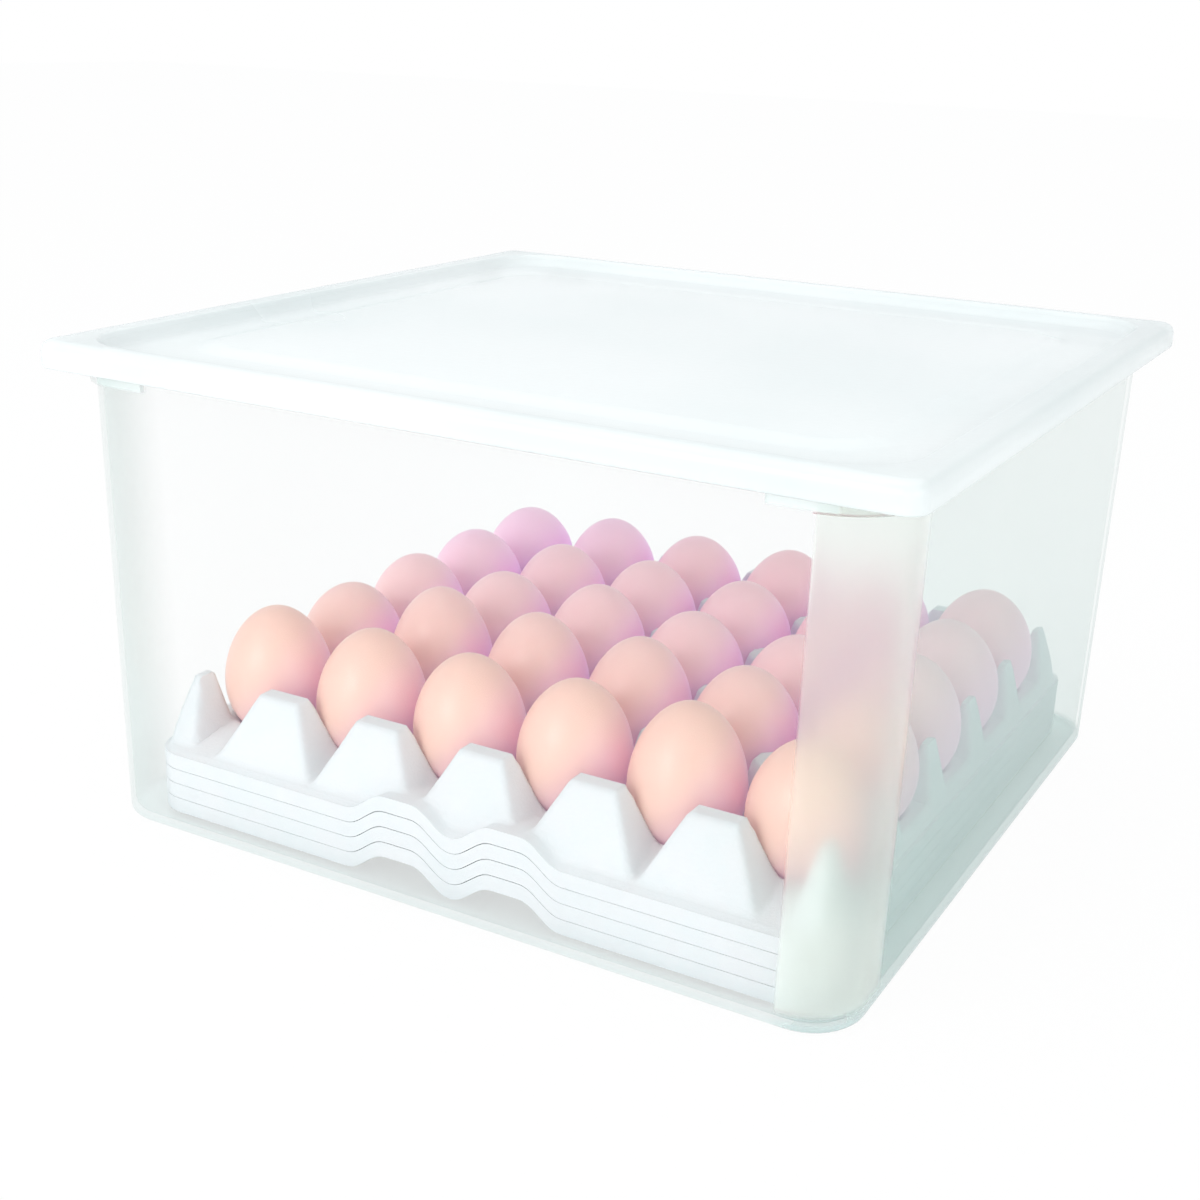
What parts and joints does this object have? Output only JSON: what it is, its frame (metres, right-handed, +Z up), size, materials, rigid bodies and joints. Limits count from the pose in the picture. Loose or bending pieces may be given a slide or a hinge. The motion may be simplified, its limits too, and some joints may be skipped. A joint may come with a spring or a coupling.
{
  "type": "egg storage box",
  "caption": "Clear lidded storage box that keeps a tray of eggs, standing pointed end up on a nest of moulded pulp egg trays",
  "frame": {"origin": "centre of the tub's underside, on the surface that the box stands on", "axes": "+X along the long front side towards its right end, +Y from the front to the back, +Z up"},
  "size_m": [0.3472, 0.3322, 0.194],
  "materials": {
    "tub_plastic": "clear plastic with frosted corners",
    "lid_plastic": "milky plastic",
    "pulp": "white moulded pulp",
    "eggshell": "peach eggshell, satin"
  },
  "bodies": {
    "tub": {"tub": "tub_plastic"},
    "lid": {"lid": "lid_plastic"},
    "tray_1": {"tray_1": "pulp"},
    "tray_2": {"tray_2": "pulp"},
    "tray_3": {"tray_3": "pulp"},
    "tray_4": {"tray_4": "pulp"},
    "egg_r1_c1": {"egg_r1_c1": "eggshell"},
    "egg_r1_c2": {"egg_r1_c2": "eggshell"},
    "egg_r1_c3": {"egg_r1_c3": "eggshell"},
    "egg_r1_c4": {"egg_r1_c4": "eggshell"},
    "egg_r1_c5": {"egg_r1_c5": "eggshell"},
    "egg_r1_c6": {"egg_r1_c6": "eggshell"},
    "egg_r2_c1": {"egg_r2_c1": "eggshell"},
    "egg_r2_c2": {"egg_r2_c2": "eggshell"},
    "egg_r2_c3": {"egg_r2_c3": "eggshell"},
    "egg_r2_c4": {"egg_r2_c4": "eggshell"},
    "egg_r2_c5": {"egg_r2_c5": "eggshell"},
    "egg_r2_c6": {"egg_r2_c6": "eggshell"},
    "egg_r3_c1": {"egg_r3_c1": "eggshell"},
    "egg_r3_c2": {"egg_r3_c2": "eggshell"},
    "egg_r3_c3": {"egg_r3_c3": "eggshell"},
    "egg_r3_c4": {"egg_r3_c4": "eggshell"},
    "egg_r3_c5": {"egg_r3_c5": "eggshell"},
    "egg_r3_c6": {"egg_r3_c6": "eggshell"},
    "egg_r4_c1": {"egg_r4_c1": "eggshell"},
    "egg_r4_c2": {"egg_r4_c2": "eggshell"},
    "egg_r4_c3": {"egg_r4_c3": "eggshell"},
    "egg_r4_c4": {"egg_r4_c4": "eggshell"},
    "egg_r4_c5": {"egg_r4_c5": "eggshell"},
    "egg_r4_c6": {"egg_r4_c6": "eggshell"},
    "egg_r5_c1": {"egg_r5_c1": "eggshell"},
    "egg_r5_c2": {"egg_r5_c2": "eggshell"},
    "egg_r5_c3": {"egg_r5_c3": "eggshell"},
    "egg_r5_c4": {"egg_r5_c4": "eggshell"},
    "egg_r5_c5": {"egg_r5_c5": "eggshell"},
    "egg_r5_c6": {"egg_r5_c6": "eggshell"}
  },
  "joints": [
    {"name": "lid_lift", "type": "slide", "parent": "tub", "child": "lid", "axis": [0, 0, 1], "range_m": [0, 0.16]},
    {"name": "tray_1_lift", "type": "slide", "parent": "tub", "child": "tray_1", "axis": [0, 0, 1], "range_m": [0, 0.04]},
    {"name": "tray_2_lift", "type": "slide", "parent": "tray_1", "child": "tray_2", "axis": [0, 0, 1], "range_m": [0, 0.04]},
    {"name": "tray_3_lift", "type": "slide", "parent": "tray_2", "child": "tray_3", "axis": [0, 0, 1], "range_m": [0, 0.04]},
    {"name": "tray_4_lift", "type": "slide", "parent": "tray_3", "child": "tray_4", "axis": [0, 0, 1], "range_m": [0, 0.04]},
    {"name": "egg_r1_c1_lift", "type": "slide", "parent": "tray_4", "child": "egg_r1_c1", "axis": [0, 0, 1], "range_m": [0, 0.06]},
    {"name": "egg_r1_c2_lift", "type": "slide", "parent": "tray_4", "child": "egg_r1_c2", "axis": [0, 0, 1], "range_m": [0, 0.06]},
    {"name": "egg_r1_c3_lift", "type": "slide", "parent": "tray_4", "child": "egg_r1_c3", "axis": [0, 0, 1], "range_m": [0, 0.06]},
    {"name": "egg_r1_c4_lift", "type": "slide", "parent": "tray_4", "child": "egg_r1_c4", "axis": [0, 0, 1], "range_m": [0, 0.06]},
    {"name": "egg_r1_c5_lift", "type": "slide", "parent": "tray_4", "child": "egg_r1_c5", "axis": [0, 0, 1], "range_m": [0, 0.06]},
    {"name": "egg_r1_c6_lift", "type": "slide", "parent": "tray_4", "child": "egg_r1_c6", "axis": [0, 0, 1], "range_m": [0, 0.06]},
    {"name": "egg_r2_c1_lift", "type": "slide", "parent": "tray_4", "child": "egg_r2_c1", "axis": [0, 0, 1], "range_m": [0, 0.06]},
    {"name": "egg_r2_c2_lift", "type": "slide", "parent": "tray_4", "child": "egg_r2_c2", "axis": [0, 0, 1], "range_m": [0, 0.06]},
    {"name": "egg_r2_c3_lift", "type": "slide", "parent": "tray_4", "child": "egg_r2_c3", "axis": [0, 0, 1], "range_m": [0, 0.06]},
    {"name": "egg_r2_c4_lift", "type": "slide", "parent": "tray_4", "child": "egg_r2_c4", "axis": [0, 0, 1], "range_m": [0, 0.06]},
    {"name": "egg_r2_c5_lift", "type": "slide", "parent": "tray_4", "child": "egg_r2_c5", "axis": [0, 0, 1], "range_m": [0, 0.06]},
    {"name": "egg_r2_c6_lift", "type": "slide", "parent": "tray_4", "child": "egg_r2_c6", "axis": [0, 0, 1], "range_m": [0, 0.06]},
    {"name": "egg_r3_c1_lift", "type": "slide", "parent": "tray_4", "child": "egg_r3_c1", "axis": [0, 0, 1], "range_m": [0, 0.06]},
    {"name": "egg_r3_c2_lift", "type": "slide", "parent": "tray_4", "child": "egg_r3_c2", "axis": [0, 0, 1], "range_m": [0, 0.06]},
    {"name": "egg_r3_c3_lift", "type": "slide", "parent": "tray_4", "child": "egg_r3_c3", "axis": [0, 0, 1], "range_m": [0, 0.06]},
    {"name": "egg_r3_c4_lift", "type": "slide", "parent": "tray_4", "child": "egg_r3_c4", "axis": [0, 0, 1], "range_m": [0, 0.06]},
    {"name": "egg_r3_c5_lift", "type": "slide", "parent": "tray_4", "child": "egg_r3_c5", "axis": [0, 0, 1], "range_m": [0, 0.06]},
    {"name": "egg_r3_c6_lift", "type": "slide", "parent": "tray_4", "child": "egg_r3_c6", "axis": [0, 0, 1], "range_m": [0, 0.06]},
    {"name": "egg_r4_c1_lift", "type": "slide", "parent": "tray_4", "child": "egg_r4_c1", "axis": [0, 0, 1], "range_m": [0, 0.06]},
    {"name": "egg_r4_c2_lift", "type": "slide", "parent": "tray_4", "child": "egg_r4_c2", "axis": [0, 0, 1], "range_m": [0, 0.06]},
    {"name": "egg_r4_c3_lift", "type": "slide", "parent": "tray_4", "child": "egg_r4_c3", "axis": [0, 0, 1], "range_m": [0, 0.06]},
    {"name": "egg_r4_c4_lift", "type": "slide", "parent": "tray_4", "child": "egg_r4_c4", "axis": [0, 0, 1], "range_m": [0, 0.06]},
    {"name": "egg_r4_c5_lift", "type": "slide", "parent": "tray_4", "child": "egg_r4_c5", "axis": [0, 0, 1], "range_m": [0, 0.06]},
    {"name": "egg_r4_c6_lift", "type": "slide", "parent": "tray_4", "child": "egg_r4_c6", "axis": [0, 0, 1], "range_m": [0, 0.06]},
    {"name": "egg_r5_c1_lift", "type": "slide", "parent": "tray_4", "child": "egg_r5_c1", "axis": [0, 0, 1], "range_m": [0, 0.06]},
    {"name": "egg_r5_c2_lift", "type": "slide", "parent": "tray_4", "child": "egg_r5_c2", "axis": [0, 0, 1], "range_m": [0, 0.06]},
    {"name": "egg_r5_c3_lift", "type": "slide", "parent": "tray_4", "child": "egg_r5_c3", "axis": [0, 0, 1], "range_m": [0, 0.06]},
    {"name": "egg_r5_c4_lift", "type": "slide", "parent": "tray_4", "child": "egg_r5_c4", "axis": [0, 0, 1], "range_m": [0, 0.06]},
    {"name": "egg_r5_c5_lift", "type": "slide", "parent": "tray_4", "child": "egg_r5_c5", "axis": [0, 0, 1], "range_m": [0, 0.06]},
    {"name": "egg_r5_c6_lift", "type": "slide", "parent": "tray_4", "child": "egg_r5_c6", "axis": [0, 0, 1], "range_m": [0, 0.06]}
  ]
}
